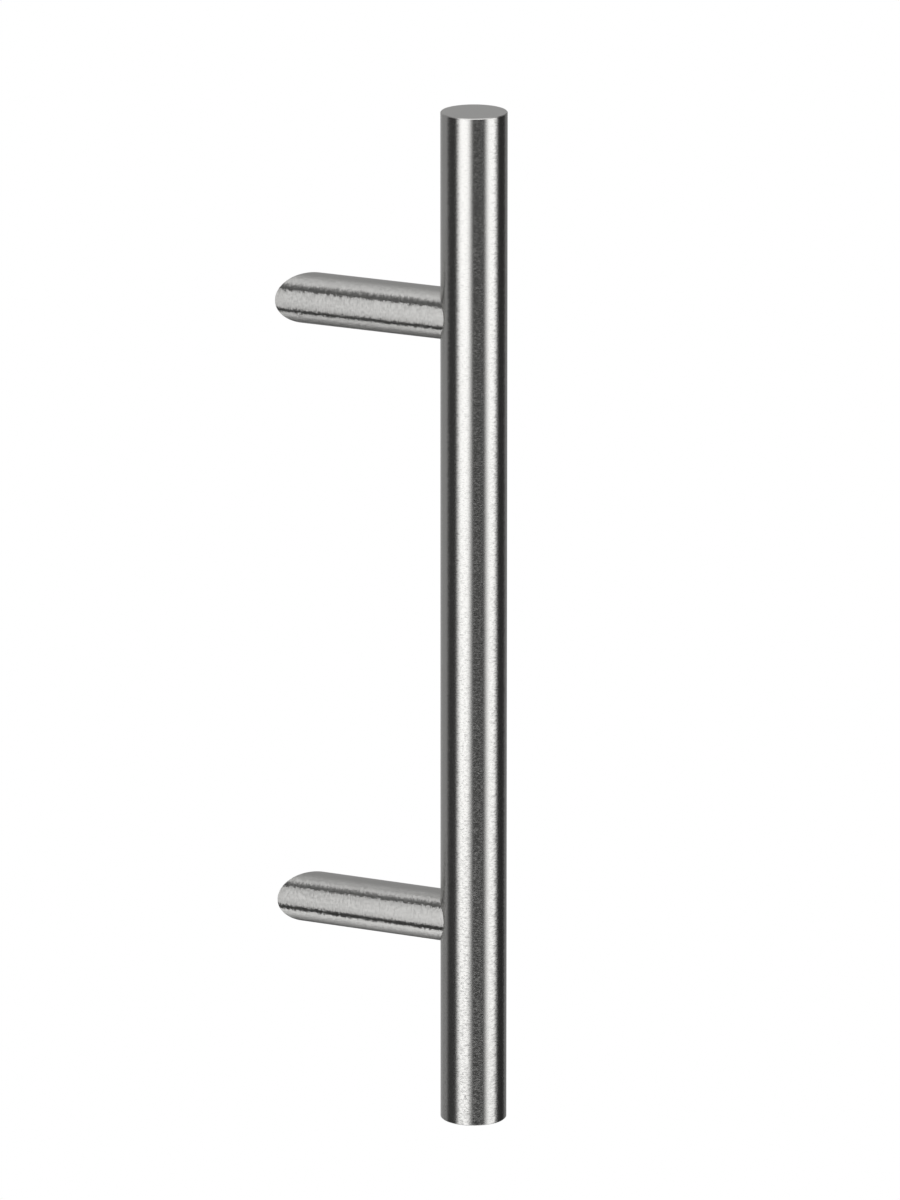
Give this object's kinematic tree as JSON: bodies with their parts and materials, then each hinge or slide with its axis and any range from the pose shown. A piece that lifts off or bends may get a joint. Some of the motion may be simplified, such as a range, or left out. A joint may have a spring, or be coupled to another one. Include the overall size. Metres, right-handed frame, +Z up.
{
  "type": "door pull handle",
  "caption": "Straight round door pull handle in brushed stainless steel, its grip offset to one side on slanted posts that are mitred to sit flat on the door.",
  "frame": {"origin": "on the door's face, halfway between the fixing holes in the feet of the posts", "axes": "+Z up, along the grip; +Y into the door, along the fixing bolts; +X to the side that the grip is offset to"},
  "size_m": [0.0955, 0.078, 0.5],
  "materials": {
    "grip_steel": "brushed round the grip, satin",
    "cap_steel": "satin, faintly turned",
    "post_steel": "brushed round the post, satin",
    "inner_steel": "machined bright"
  },
  "bodies": {
    "root": {"grip_tube": "grip_steel", "upper_end_cap": "cap_steel", "lower_end_cap": "cap_steel", "upper_post": "post_steel", "lower_post": "post_steel", "upper_joint_stud": "inner_steel", "lower_joint_stud": "inner_steel", "upper_thread_block": "inner_steel", "lower_thread_block": "inner_steel"}
  },
  "joints": []
}
